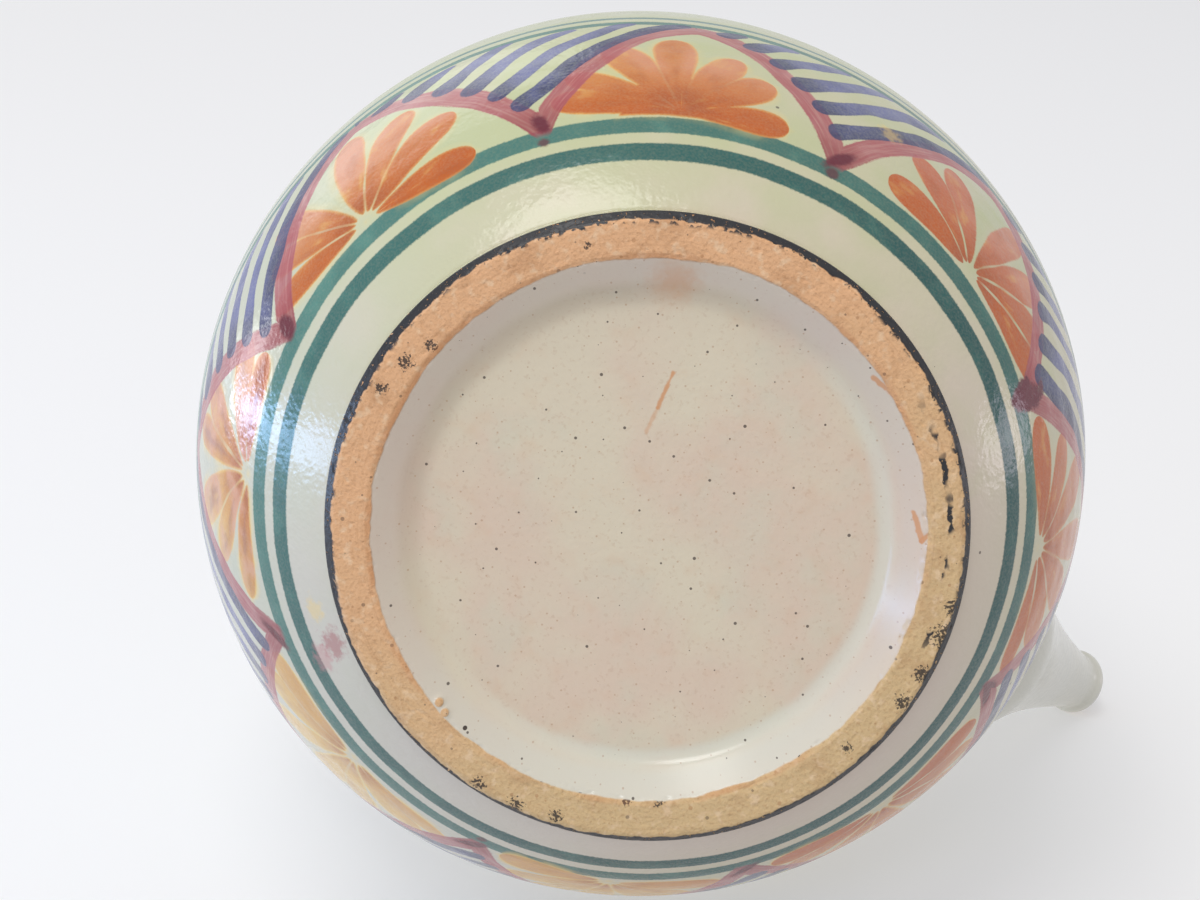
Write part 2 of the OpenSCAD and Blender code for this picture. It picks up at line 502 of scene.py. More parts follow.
def glaze_ground(shader):
    """The clouded tin glaze, as a colour: creamy by the foot, greener above, then whiter. Painted light
    also makes it creamier and greener towards the side lit from above, and greyer towards the side of
    the cool window.
    """
    side = shader.towards(LIT_SIDE, BELLY_R)
    # Painted light: the side term makes the glaze creamier and greener towards the side lit from above
    cloud_and_lit_tint = side * 0.6 + (shader.noise(46, 2.0) - 0.5)
    green = shader.z.step(6, 24) * 0.45 + (side * 0.25 + shader.noise(15, 3.0)).step(0.40, 0.80) * 0.5
    cloud = shader.noise(34, 3.0).step(0.35, 0.70) * shader.z.step(45, 90)
    return shader.coat(
        LILAC,
        (cloud_and_lit_tint.step(-0.25, 0.50), CREAM),
        (green, CELADON),
        # Painted cool window light: greyer towards the window's side
        (shader.towards(WINDOW_SIDE, BELLY_R).step(0.1, 0.7) * 0.6, WINDOW_LIGHT_GREY),
        (shader.z.step(45, 115) * 0.35 + cloud * 0.3, WHITE),
        (shader.spots(7, 0.5, 0.3) * 0.75, PINHOLE),
    )


def glaze_gloss(shader):
    """The glassy skin of the glaze: faintly uneven, with small dimples."""
    shader.set("Roughness", shader.noise(9, 2.0) * 0.14 + 0.12)
    shader.set("IOR", 1.52)
    shader.relief(*((shader.noise(width, detail), depth) for width, detail, depth in DIMPLES))


def plain_glaze(name, worn=None):
    """The glaze alone, whiter away from the belly's wall.

    Where worn, a field, nears 1, it has thinned and the clay shows through.
    """
    shader = Shader(name)
    away = (shader.out - BELLY_OFF).hypot(shader.z - BELLY_Z) - BELLY_CURVE
    white = abs(away).step(1, 16) * (shader.noise(30, 2.0) * 0.4 + 0.3)
    colour = shader.mix(white, glaze_ground(shader), WHITE)
    if worn is not None:
        thin = (worn(shader) + (shader.noise(5, 3.0) - 0.5) * 0.9).step(0.55, 0.85)
        colour = shader.mix(thin * 0.75, colour, TAN)
    shader.set("Base Color", colour)
    glaze_gloss(shader)
    return shader.material


def rim_wear(shader):
    """1 on the crown of the mouth's rim."""
    return shader.z.step(MOUTH_Z + 1.2, MOUTH_Z + RIM_T / 2)


def lip_wear(shader):
    """1 at the tip of the spout's lip."""
    ahead, above = shader.x - SPOUT_TIP[0], shader.z - SPOUT_TIP[2]
    along = ahead * math.cos(SPOUT_RISE) + above * math.sin(SPOUT_RISE)
    return along.step(-2.4, -0.2)


# Widths and heights on the painted band, in millimetres. Heights run up the wall from the foot.
SECTOR_W = 63.0
LOW_RINGS = ((11.3, 15.5), (18.3, 22.4))
HIGH_RINGS = ((61.2, 63.4), (66.2, 68.2))
NECK_RINGS = ((170.0, 172.2), (175.0, 178.4))
SCALLOP_LOW = 23.5
SCALLOP_RISE = 35.5
SCALLOP_BOW = 1.5
SCALLOP_W = 5.0
FLOWER_AT = 24.4
FLOWER_CORE = 2.4
PETALS = 7
PETAL_FIRST = 4.0
PETAL_TURN = 28.0
PETAL_SWAY = math.radians(14)
PETAL_W = 5.6
STRIPE_GAP = 7.2
STRIPE_W = 3.6
STRIPE_TOP = 60.0
STRIPE_LOWEST = 34.0
STRIPE_START = 2.7
DAB_AT = 24.5
# The junction at which the dab was worked into a large patch, and how much further that reaches
PATCH_AT = 7.0
PATCH_GROWN = 1.3

# How far some flowers stand from the middle of their sector, by sector, in millimetres
FLOWER_SHIFTS = ((4.0, -7.0), (5.0, -3.0), (6.0, 4.0))
# Flowers painted wetter than the others: in one the petals ran together, in one they took plum cores
MERGED_FLOWER = 5.0
PLUM_FLOWER = 3.0
# The turn about the axis at which the flowers are most golden
GOLDEN_TURN = math.radians(100)

# Smears of wet colour near the foot: sector, height, size, colour and strength
SMEAR_SECTOR_W = 51.0
SMEARS = (
    (2.95, 5.2, 4.2, ROSE, 0.58),
    (2.90, 10.3, 3.8, ROSE_THIN, 0.45),
    (3.09, 7.0, 3.2, YELLOW, 0.40),
    (6.12, 43.0, 3.0, YELLOW, 0.40),
)


class Band:
    """Places on the painted wall, in millimetres, shaken a little as a hand shakes."""

    def __init__(self, shader):
        half_w = SECTOR_W / 2
        self.around, self.height = shader.map("paint")
        self.sector = self.around.math("FLOOR")
        self.grain = shader.noise(0.5, 2.0) - 0.5
        self.waver = shader.noise(17, 1.0) - 0.5
        self.wash = shader.noise(6, 3.0)
        stray = shader.noise(21, 1.0, at=(shader.z, shader.x, shader.y)) - 0.5
        self.x = (self.around.fraction() - 0.5) * SECTOR_W + self.waver * 2.4
        self.valley = ((self.around + 0.5).fraction() - 0.5) * SECTOR_W + self.waver * 2.4
        self.y = self.height + stray * 2.4
        bow = (abs(self.x) / half_w).least(1.0)
        curve = (bow**SCALLOP_BOW) * -SCALLOP_RISE + (SCALLOP_LOW + SCALLOP_RISE)
        steep = (bow ** (SCALLOP_BOW - 1)) * (SCALLOP_BOW * SCALLOP_RISE / half_w)
        self.above = (self.y - curve) / (steep * steep + 1).math("SQRT")

    def is_sector(self, number):
        """1 in one sector and 0 in the others."""
        return self.sector.math("COMPARE", number, 0.4)


def paint_rings(shader, band, colour):
    """Brushed rings, whose edges wander a little; the lowest is the boldest."""
    height = band.height + band.waver * 0.9
    rings = []
    for low, high in LOW_RINGS + HIGH_RINGS + NECK_RINGS:
        edge = abs(height - (low + high) / 2) - (high - low) / 2 + band.grain * 0.6
        rings.append(edge.step(0.25, -0.25))
    thin = band.height.step(16, 19) * 0.25 + band.wash.step(0.45, 0.75) * 0.25 + band.grain * 0.2
    teal = shader.mix(thin - shader.x * 0.003 + 0.08, TEAL, TEAL_THIN)
    return shader.mix(united(rings) * (band.grain * 0.3 + 0.96), colour, teal)


def petal_depths(shader, x, y, sector, start):
    """How deep a point lies inside the nearest petal of its half-daisy, and inside the next nearest."""
    first = second = None
    for number in range(PETALS):
        lean = math.radians(PETAL_FIRST + PETAL_TURN * number)
        tall = 24.0 + 5.0 * math.sin(lean) ** 6 + 1.5 * abs(math.cos(lean))
        lot = sector + 20 * number
        turn = shader.chance(lot) * PETAL_SWAY + (lean - PETAL_SWAY / 2)
        length = shader.chance(lot + 9.5) * 4.0 + (tall - 4.0)
        cos, sin = turn.math("COSINE"), turn.math("SINE")
        along = (x * cos + y * sin - start) / length
        across = abs(y * cos - x * sin)
        inside = along.most(0.0).least(1.0)
        plump = shader.chance(lot + 5.5) * 1.6 + (PETAL_W - 1.2)
        width = (inside**0.55) * ((1 - inside**5) ** 0.5) * plump
        petal = width - across - abs(along - inside) * length
        if first is None:
            first = petal
            continue
        overlap = first.least(petal)
        second = overlap if second is None else second.most(overlap)
        first = first.most(petal)
    return first, second


def paint_flowers(shader, band, colour):
    """Half-daisies, salmon to golden, orange low down, with rust where the brush was pressed."""
    x = band.x - (shader.chance(band.sector + 200) - 0.5) * 3.0
    for sector, shift in FLOWER_SHIFTS:
        x = x - band.is_sector(sector) * shift
    y = band.y - FLOWER_AT
    turn = y.math("ARCTAN2", x)
    reach_out = x.hypot(y)
    merged = band.is_sector(MERGED_FLOWER)
    plum = band.is_sector(PLUM_FLOWER)
    golden = (band.around * (2 * math.pi / SECTORS) - GOLDEN_TURN).math("COSINE") * 0.45 + 0.45
    # The lower-left flowers are painted yellower and thinner; their thinner, paler petals are partly
    # painted light, for the light that falls on that side.
    watery_and_lit = golden.step(0.62, 0.85)
    golden = golden + merged * 0.35

    depth, overlap = petal_depths(shader, x, y, band.sector, merged * -1.4 + FLOWER_CORE)
    gap = band.wash * 1.7 + 0.1
    apart = shader.noise(11, 1.0).step(0.40, 0.58) * 0.75 + 0.15
    parted = (depth - overlap).step(gap, gap * 0.4) * overlap.step(-0.2, 0.3)
    parted = parted * apart * (merged * -0.9 + 1) * (watery_and_lit * -0.6 + 1)
    depth = depth.most((merged * 12.0 - reach_out).least(y + 1.5)) + band.grain * 0.3

    fuller = shader.noise(1.0, 1.0, at=(turn * 1.7, reach_out * 0.03, band.sector * 5))
    bristle = shader.noise(1.0, 2.0, at=(turn * 4.5, reach_out * 0.12, band.sector * 3))
    petal = shader.coat(
        SALMON,
        (golden, AMBER),
        (y.step(6, 20) * fuller.step(0.66, 0.38) * (golden * -0.2 + 0.7), BLUSH),
        (watery_and_lit * 0.65, YELLOW),
        (y.step(15, 0) * (watery_and_lit * -0.5 + 0.95), ORANGE),
        (bristle.step(0.45, 0.75) * 0.35, RUST),
        (bristle.step(0.42, 0.22) * 0.3, YELLOW),
        (reach_out.step(11, 4) * band.wash.step(0.3, 0.6) * 0.7, RUST),
        (depth.step(0.9, 0.1) * (golden * 0.8), YELLOW),
        (plum * band.wash.step(0.6, 0.3) * 0.7, BLUSH),
        (plum * depth.step(1.3, 3.0) * bristle.step(0.40, 0.65) * 0.4, PLUM),
    )
    halo = depth.step(-2.0, 0.2) * golden * band.wash.step(0.30, 0.60) * 0.6
    # Thinner paint on the lower-left flowers, partly painted light
    laid = band.grain * 0.3 - watery_and_lit * 0.15 + 0.95
    mask = depth.step(-0.15, 0.35) * (1 - parted) * laid
    return shader.coat(colour, (halo, YELLOW), (mask, petal))


def paint_scallops(shader, band, colour):
    """Streaky rose arches over the half-daisies."""
    along = (abs(band.x) - band.y) * 0.07
    bristle = shader.noise(1.0, 2.0, at=(band.above * 1.7, along, band.sector))
    rose = shader.coat(
        ROSE,
        (bristle.step(0.42, 0.78) * 0.5, ROSE_THIN),
        (band.wash.step(0.5, 0.75) * 0.4, ROSE_THIN),
        (band.y.step(33, 23) * 0.65, ROSE_DEEP),
    )
    edge = abs(band.above) - SCALLOP_W / 2 + band.grain * 0.5 + (bristle - 0.5) * 0.5
    mask = edge.step(0.25, -0.25) * band.y.step(20.5, 22.5)
    return shader.mix(mask * (bristle * -0.25 + 1.02), colour, rose)


def paint_strokes(shader, band, colour):
    """Slanted blue strokes between the scallops, darkest where the loaded brush came down."""
    slant = (band.valley - band.y + STRIPE_LOWEST) * math.sqrt(0.5) + band.waver * 2.0
    pitch = slant / STRIPE_GAP + 0.5
    off = (pitch.fraction() - 0.5) * STRIPE_GAP
    tall = STRIPE_TOP + (shader.chance(pitch.math("FLOOR") + band.sector * 17) - 0.5) * 1.6
    start = (band.above - STRIPE_START).least(0.0)
    stop = (band.y - tall).most(0.0)
    loaded = band.above.step(10.0, 2.5)
    tail = band.above.step(12.0, 26.0)
    stroke = off.hypot(start, stop) - (loaded * 0.55 - tail * 0.35 + STRIPE_W / 2) + band.grain * 0.4
    mask = stroke.step(0.2, -0.2) * slant.step(3.4, 2.2)
    dark = loaded * 0.85 + band.wash.step(0.40, 0.75) * 0.4 + stroke.step(-0.5, 0.0) * 0.2
    return shader.mix(mask * (band.grain * 0.4 + 0.93), colour, shader.mix(dark, BLUE, NAVY))


def paint_dabs(shader, band, colour):
    """A maroon dab where two scallops meet, and under some of them a drop on the ring."""
    junction = band.around.math("ROUND")
    y = band.y - DAB_AT
    tilt = (shader.chance(junction + 310) - 0.2) * 1.2
    x = band.valley + (shader.chance(junction + 300) - 0.5) * 2.0 - y * tilt
    rough = band.grain * 0.5 + (band.wash - 0.5) * 2.2
    patch = junction.math("COMPARE", PATCH_AT, 0.4) * PATCH_GROWN
    dab = x.hypot(y * 0.55) + rough * (patch * 1.5 + 1) - patch
    drop = (x + y * tilt + 0.8).hypot(y + 5.0) + rough
    dropped = drop.step(1.7, 0.7) * shader.chance(junction + 320).step(0.55, 0.6) * 0.75
    worn = patch * band.wash.step(0.45, 0.60) * 0.3
    return shader.mix(dab.step(2.3, 1.1).most(dropped) * (0.95 - worn), colour, MAROON)


def paint_smears(shader, band, colour):
    """Smears of wet colour that a thumb left near the foot."""
    blot = shader.noise(1.6, 3.0, 0.6)
    for sector, height, size, tint, strength in SMEARS:
        away = ((band.around - sector) * SMEAR_SECTOR_W).hypot(band.height - height)
        patchy = (band.wash - 0.5) * size * 1.5 + (0.5 - blot) * size * 2.2
        colour = shader.mix((away + patchy).step(size, size * 0.2) * strength, colour, tint)
    return colour


def painted_glaze():
    shader = Shader("painted_glaze")
    band = Band(shader)
    colour = glaze_ground(shader)
    for paint in (paint_rings, paint_flowers, paint_scallops, paint_strokes, paint_dabs, paint_smears):
        colour = paint(shader, band, colour)
    shader.set("Base Color", colour)
    glaze_gloss(shader)
    return shader.material


# Scars under the base and on its slope: strokes between points seen along the axis, the reach of their
# soft edge and their strength
SCARS = (
    ((-12.4, -27.3), (-11.2, -20.2), (0.55, 0.10), 0.8),
    ((-11.2, -20.2), (-10.5, -15.4), (0.55, 0.10), 0.4),
    ((18.2, -47.0), (25.0, -46.2), (0.65, 0.25), 0.8),
    ((38.9, -30.2), (43.0, -26.6), (0.65, 0.25), 0.8),
    ((43.0, -26.6), (43.6, -29.0), (0.65, 0.25), 0.8),
)
SMUDGE_AT = (-21.6, -42.0)
DOT_AT = (-8.5, 49.9)
# Crumbs of clay caught in the glaze at the foot's inner edge
CRUMBS = ((-15.3, 48.2), (-13.4, 49.3))
CRUMB_R = 0.8


def under_glaze(shader):
    """The thin pinkish glaze under the base, as a colour: clouds, pinholes and old scars, a painted
    highlight round the slope's corner on the lit side and painted shade in the corner opposite.
    """
    out = shader.out + (shader.noise(20, 2.0) - 0.5) * 3
    corner = abs(out - SLOPE_R)
    # Towards the lit side: a peach tint and a painted highlight in the corner; painted shade lies
    # opposite
    warm_and_lit = shader.towards(WARM_AND_LIT_SIDE, FOOT_R)
    pale = shader.towards(HIGHLIGHT_SIDE, FOOT_R)
    rough = (shader.noise(1.5, 3.0) - 0.5) * 0.9
    scars = [
        ((shader.from_line(start, end) + rough).step(*edge) * strength, SCAR)
        for start, end, edge, strength in SCARS
    ]
    return shader.coat(
        BASE_CREAM,
        (shader.noise(26, 3.0).step(0.38, 0.62), BASE_PINK),
        (shader.noise(12, 3.0).step(0.50, 0.75) * 0.35, BASE_GREEN),
        (shader.noise(5, 3.0).step(0.50, 0.80) * 0.12, SCAR),
        (shader.noise(0.8, 2.0).step(0.56, 0.75) * 0.16, CLAY_DARK),
        (out.step(SLOPE_R, SLOPE_R + 4) * 0.65, BASE_LILAC),
        (out.step(SLOPE_R + 3, SLOPE_R + 7) * warm_and_lit.step(0.2, 0.9) * 0.3, BASE_PEACH),
        # Painted highlight round the slope's corner on the lit side, then painted shade in the corner
        # opposite
        (out.step(SLOPE_R, SLOPE_R + 3) * pale.step(0.2, 0.8) * 0.6, CORNER_HIGHLIGHT),
        (corner.step(2.6, 0.4) * warm_and_lit.step(-0.3, 0.5) * 0.6, CORNER_HIGHLIGHT),
        (corner.step(3.6, 0.4) * warm_and_lit.step(0.0, -0.7) * 0.35, BASE_SHADE),
        *scars,
        ((shader.from_point(SMUDGE_AT) + rough * 5).step(6.5, 0.5) * 0.45, SCAR),
        (shader.from_point(DOT_AT).step(0.48, 0.36), PINHOLE),
        (shader.spots(6.5, 0.34, 0.6, flat=True) * 0.85, PINHOLE),
        (shader.spots(2.2, 0.22, 0.5, flat=True) * 0.4, CLAY_DARK),
    )


def base_glaze():
    shader = Shader("base_glaze")
    shader.set("Base Color", under_glaze(shader))
    glaze_gloss(shader)
    return shader.material


# Clusters of soot specks on the foot: place along X and Y, and size
SOOT_SPECKS = (
    (-54.9, -3.1, 2.6), (-56.0, 3.4, 2.2), (-52.8, -8.2, 2.0), (-38.7, -38.8, 1.3), (-0.6, 57.6, 2.4),
    (7.5, 57.6, 3.0), (15.1, 55.1, 2.2), (56.7, -14.0, 4.2), (57.4, -5.7, 3.0), (57.6, 0.8, 3.0),
    (53.9, 13.9, 1.8), (24.8, 45.4, 1.4), (30.1, 42.4, 1.6), (55.0, -19.5, 3.0),
)
# Turns about the axis at which the black line is thickest, flaked most, and left a broken second line
HEAVY_TURN = math.radians(-75)
FLAKED_TURN = math.radians(185)
SECOND_TURN = math.radians(-34)
SECOND_IN = 2.7


def bare_clay(shader, turn, fine):
    """Bare fired clay, as a colour: peach to tan, with specks, soot and turning marks."""
    tan = shader.towards(TAN_SIDE, FOOT_R) + (shader.noise(24, 2.0) - 0.5) * 1.2
    turned = shader.noise(1.0, 2.0, at=(shader.out * 2.0, turn * 2.5))
    speck = shader.noise(0.6, 3.0, 0.6)
    near = united((shader.from_point(spot) / size).step(1.2, 0.1) for *spot, size in SOOT_SPECKS)
    return shader.coat(
        TERRACOTTA,
        (tan.step(-0.5, 0.7), TAN),
        (shader.noise(9, 3.0).step(0.50, 0.72) * 0.35, CLAY_DARK),
        (turned.step(0.52, 0.75) * 0.2, CLAY_DARK),
        (fine.step(0.50, 0.75) * 0.35, CLAY_DARK),
        (shader.noise(2.2, 2.0).step(0.52, 0.72) * 0.5, CLAY_PALE),
        (shader.spots(2.0, 0.45, 0.4) * 0.5, CLAY_DARK),
        (shader.spots(4.0, 0.4, 0.35, flat=True) * 0.55, PINHOLE),
        ((near * 0.32 + speck).step(0.72, 0.80) * 0.9, SOOT),
    )


def foot_clay():
    """The foot: bare clay below, a flaked black line round its edge, and glaze within and without."""
    shader = Shader("foot_clay")
    turn = shader.y.math("ARCTAN2", shader.x)

    def facing(side):
        """1 at a turn about the axis, down to -1 opposite."""
        return (turn - side).math("COSINE")

    ragged = shader.noise(3.0, 3.0) - 0.5
    wander = shader.noise(22, 2.0) - 0.5
    fine = shader.noise(0.7, 3.0)
    broken = shader.noise(1.6, 3.0)

    inside = shader.out + ragged * 0.8 + wander * 2.4 - (FOOT_R - FOOT_W)
    burnt = inside.step(1.0, 0.0) * (wander * 2.5 + 0.4).step(0.2, 0.7) * 0.4
    glazed = inside.step(-0.3, -0.7)
    for crumb in CRUMBS:
        glazed = glazed * shader.from_point(crumb).step(CRUMB_R * 0.8, CRUMB_R * 1.2)

    heavy = facing(HEAVY_TURN).step(0.0, 0.95) + facing(FLAKED_TURN).step(0.2, 0.95) * 0.8
    outside = shader.out + ragged * 1.5 + wander * 1.2 - (FOOT_R - FOOT_BEVEL)
    line_masks = (
        (outside + heavy * 0.4).step(0.35, 0.65),
        (outside + heavy * 1.3).step(0.5, 1.3) * broken.step(0.52, 0.58),
        (abs(outside + SECOND_IN) + (broken - 0.5) * 2.0).step(0.7, 0.4)
        * shader.noise(5, 2.0).step(0.46, 0.56)
        * facing(SECOND_TURN).step(0.88, 0.94),
    )
    lined = united(line_masks) * fine.step(0.70, 0.62)
    body_side = (shader.z + ragged * 0.7).step(2.3, 2.7) * shader.out.step(FOOT_R - 1.2, FOOT_R - 0.8)
    shader.set("Base Color", shader.coat(
        bare_clay(shader, turn, fine),
        (burnt, BURNT),
        (glazed, under_glaze(shader)),
        (lined, LINE_BLACK),
        (body_side, glaze_ground(shader)),
    ))

    glossy = glazed.most(lined * 0.65).most(body_side)
    shader.set("Roughness", glossy * -0.64 + 0.80)
    bare = 1 - glossy
    shader.relief((fine * bare, 0.25), (shader.noise(2.0, 2.0) * bare, 0.22), (glossy, 0.10))
    return shader.material


# Pieces

BODY_SEGMENTS = 480
FOOT_SEGMENTS = 900
NECK_SEGMENTS = 240
SPOUT_SEGMENTS = 144
STRAP_SIDES = 64
STRAP_STEPS = 130
SEAM_STEPS = 200
BAND_TOP = 72.0
FIRST_TURN = math.radians(JUNCTIONS[0])
BELLY_LOW = math.asin((FOOT_H - BELLY_Z) / BELLY_CURVE)
BELLY_HIGH = math.asin((SHOULDER_Z - BELLY_Z) / BELLY_CURVE)
BAND_HIGH = BELLY_LOW + BAND_TOP / BELLY_CURVE
PLAIN, PAINTED, UNDER = 0, 1, 2


def body_outline():
    """The body's section, from the middle of its underside round to the middle of its floor.

    Returns the points, each point's height up the painted wall, and each face row's zone.
    """
    belly = (BELLY_OFF, BELLY_Z)
    cavity = BELLY_CURVE - WALL
    floor_z = FOOT_H + BASE_T
    fillet_z = floor_z + BASE_FILLET
    fillet_x = BELLY_OFF + math.sqrt((cavity - BASE_FILLET) ** 2 - (BELLY_Z - fillet_z) ** 2)
    fillet_turn = math.atan2(fillet_z - BELLY_Z, fillet_x - BELLY_OFF)
    hole_r = NECK_R - NECK_WALL
    hole_turn = math.acos((hole_r - BELLY_OFF) / cavity)
    parts = [
        (UNDER, line((0, FOOT_H), (BELLY_OFF + BELLY_CURVE * math.cos(BELLY_LOW), FOOT_H), 30)),
        (PAINTED, arc(belly, BELLY_CURVE, BELLY_LOW, BAND_HIGH, 73)[:-1]),
        (PAINTED, arc(belly, BELLY_CURVE, BAND_HIGH, BELLY_HIGH, 80)),
        (PLAIN, line((hole_r, SHOULDER_Z), (hole_r, BELLY_Z + cavity * math.sin(hole_turn)), 4)),
        (PLAIN, arc(belly, cavity, hole_turn, fillet_turn, 60)[:-1]),
        (PLAIN, arc((fillet_x, fillet_z), BASE_FILLET, fillet_turn, -math.pi / 2, 8)),
        (PLAIN, line((fillet_x * 0.9, floor_z), (0, floor_z), 10)),
        (PLAIN, np.array([[0.0, floor_z]])),
    ]
    points = np.concatenate([p for _, p in parts])
    zones = np.concatenate([np.full(len(p), zone) for zone, p in parts])
    turn = np.arctan2(points[:, 1] - BELLY_Z, points[:, 0] - BELLY_OFF)
    heights = np.where(zones == PAINTED, (turn - BELLY_LOW) * BELLY_CURVE, -100.0)
    return points, heights, zones[:-1]


def body_bake_map(outline, heights, zones):
    """Places of the body's faces on a square picture, most of which the painted band takes.

    The band lies in two strips, with the underside as a disc above them and the rest beside it.
    """
    half = BODY_SEGMENTS // 2
    band = (zones == PAINTED) & (heights[:-1] < BAND_TOP - 0.01)
    shoulder = (zones == PAINTED) & ~band
    inside = zones == PLAIN

    def place(row, column):
        face_row = row.reshape(-1, 4).min(axis=1).repeat(4)
        face_column = column.reshape(-1, 4).min(axis=1).repeat(4)
        strip = face_column // half
        out = outline[row, 0]
        out = np.where(out < SLOPE_R, out, SLOPE_R + (out - SLOPE_R) * 0.2) * 0.137 / (SLOPE_R + 3)
        turn = 2 * math.pi * column / BODY_SEGMENTS
        x = 0.14 + out * np.cos(turn)
        y = 0.858 + out * np.sin(turn)
        beside = 0.295 + 0.70 * column / BODY_SEGMENTS
        for rows, across, low, tall in (
            (band, 0.004 + 0.992 * (column - strip * half) / half, 0.004 + 0.356 * strip, 0.348),
            (shoulder, beside, 0.725, 0.195),
            (inside, beside, 0.93, 0.066),
        ):
            share = (row - np.argmax(rows)) / rows.sum()
            x = np.where(rows[face_row], across, x)
            y = np.where(rows[face_row], low + tall * share, y)
        return np.stack([x, y], -1)

    return place


def make_body():
    outline, heights, zones = body_outline()
    turns = np.degrees(FIRST_TURN) + np.linspace(0, 360, BODY_SEGMENTS + 1)
    sectors = np.interp(turns, (*JUNCTIONS, JUNCTIONS[0] + 360), np.arange(SECTORS + 1))
    grid = thrown(revolve(outline, BODY_SEGMENTS, FIRST_TURN), 0.04)

    def paint(row, column):
        return np.stack([sectors[column], heights[row]], -1)

    bake = body_bake_map(outline, heights, zones)
    piece = mesh_piece("jug_body", grid, [("paint", paint), ("OFBake", bake)], zones)
    return dress(piece, "body", "painted_glaze", plain_glaze_look, painted_glaze(), base_glaze())


def foot_outline():
    """The foot's section, with worn edges: down its inner slope, under it, up its wall and back."""
    inner = FOOT_R - FOOT_W
    bevel_r = FOOT_R - FOOT_BEVEL
    slope = math.atan2(FOOT_H, FOOT_SLOPE)
    corner_r = inner - FOOT_SLOPE - FOOT_FILLET * math.tan(slope / 2)
    corner = arc((corner_r, FOOT_H - FOOT_FILLET), FOOT_FILLET, math.pi / 2, math.pi / 2 - slope, 12)
    wall_r = BELLY_OFF + BELLY_CURVE * math.cos(BELLY_LOW)
    tucked_r = corner_r - 2.0
    lapped = FOOT_H + 0.1
    sunk = FOOT_H + 0.4
    inner_high, inner_low = (inner - 0.5, 0.4), (inner + 0.3, 0.0)
    outer_low, bevel_low = (bevel_r - 0.3, 0.0), (bevel_r + 0.2, 0.25)
    bevel_high = (FOOT_R - 0.1, FOOT_BEVEL)
    return np.concatenate([
        line((tucked_r, lapped), corner[0], 4),
        corner[:-1],
        line(corner[-1], inner_high, 22),
        line(inner_high, inner_low, 4),
        line(inner_low, outer_low, 24),
        line(outer_low, bevel_low, 3),
        line(bevel_low, bevel_high, 8),
        line(bevel_high, (wall_r, sunk), 8),
        line((wall_r - 0.6, sunk), (tucked_r, sunk), 4),
        [(tucked_r, sunk), (tucked_r, lapped)],
    ])


def worn_lift(place, rim):
    """How deep the clay is pitted at a place, and chipped as well towards a rim."""
    pit = max(0.0, noise.noise(place * 0.9) - 0.28) + 0.6 * max(0.0, noise.noise(place * 2.1) - 0.3)
    chip = max(0.0, noise.noise(place * 0.22 + Vector((7, 3, 1))) - 0.12)
    chip *= 0.6 + noise.noise(place * 1.3)
    return 0.45 * pit + rim * max(0.0, chip)


def make_foot():
    """The foot ring, with pits in the clay and crumbs caught in the glaze."""
    inner = FOOT_R - FOOT_W
    rim_w = 1.2
    outline = foot_outline()
    grid = thrown(revolve(outline, FOOT_SEGMENTS))
    lift = np.zeros(grid.shape[:2])
    for row, (out, height) in enumerate(outline):
        if out < inner - rim_w or height > FOOT_BEVEL:
            continue
        rim = max(0.0, 1 - min(abs(out - inner), abs(FOOT_R - FOOT_BEVEL - out)) / rim_w)
        for column in range(FOOT_SEGMENTS):
            lift[row, column] = worn_lift(Vector(grid[row, column]), rim)
    lift[:, -1] = lift[:, 0]
    grid[..., 2] = np.where(grid[..., 2] < FOOT_BEVEL + 0.1, grid[..., 2] + lift, grid[..., 2])
    for x, y in CRUMBS:
        away = np.hypot(grid[..., 0] - x, grid[..., 1] - y)
        stands = np.where(grid[..., 2] < FOOT_H / 2, np.exp(-((away / CRUMB_R) ** 2)), 0.0)
        grid[..., 2] = np.maximum(grid[..., 2] - stands, np.minimum(grid[..., 2], 0.1))
    return dress(mesh_piece("jug_foot", grid), "foot_ring", "bare_clay", foot_clay())


def make_neck():
    low = SHOULDER_Z - 0.4
    heights = np.linspace(SHOULDER_Z, MOUTH_Z - RIM_T * 0.3, 46)
    outer = np.stack([neck_radius(heights), heights], -1)
    rim = arc((MOUTH_R - NECK_WALL / 2, MOUTH_Z), RIM_T / 2, math.radians(-35), math.radians(215), 26)
    inner = np.stack([neck_radius(heights[::-1]) - NECK_WALL, heights[::-1]], -1)
    outline = np.concatenate([
        [[NECK_R, low]], outer, rim, inner, [[NECK_R - NECK_WALL, low], [NECK_R, low]],
    ])
    grid = revolve(outline, NECK_SEGMENTS)
    return make_plain("jug_neck", grid, "neck", plain_glaze("neck_glaze", rim_wear))


def make_neck_seam():
    heights = np.linspace(SHOULDER_Z + 24, SHOULDER_Z - 6, 120)
    wall = np.stack([neck_radius(heights), heights], -1)
    rails = revolve(wall, NECK_SEGMENTS).transpose(1, 0, 2)
    grid = fillet(rails, slope_of(neck_gap, rails), belly_gap, NECK_FILLET)
    return make_plain("neck_seam", grid, "neck_coil", plain_glaze_look)


def spout_frame():
    """The spout's own axes: two across it and one along it, towards its lip."""
    along = np.array([math.cos(SPOUT_RISE), 0, math.sin(SPOUT_RISE)])
    up = np.array([-math.sin(SPOUT_RISE), 0, math.cos(SPOUT_RISE)])
    return up, np.array([0.0, 1.0, 0.0]), along


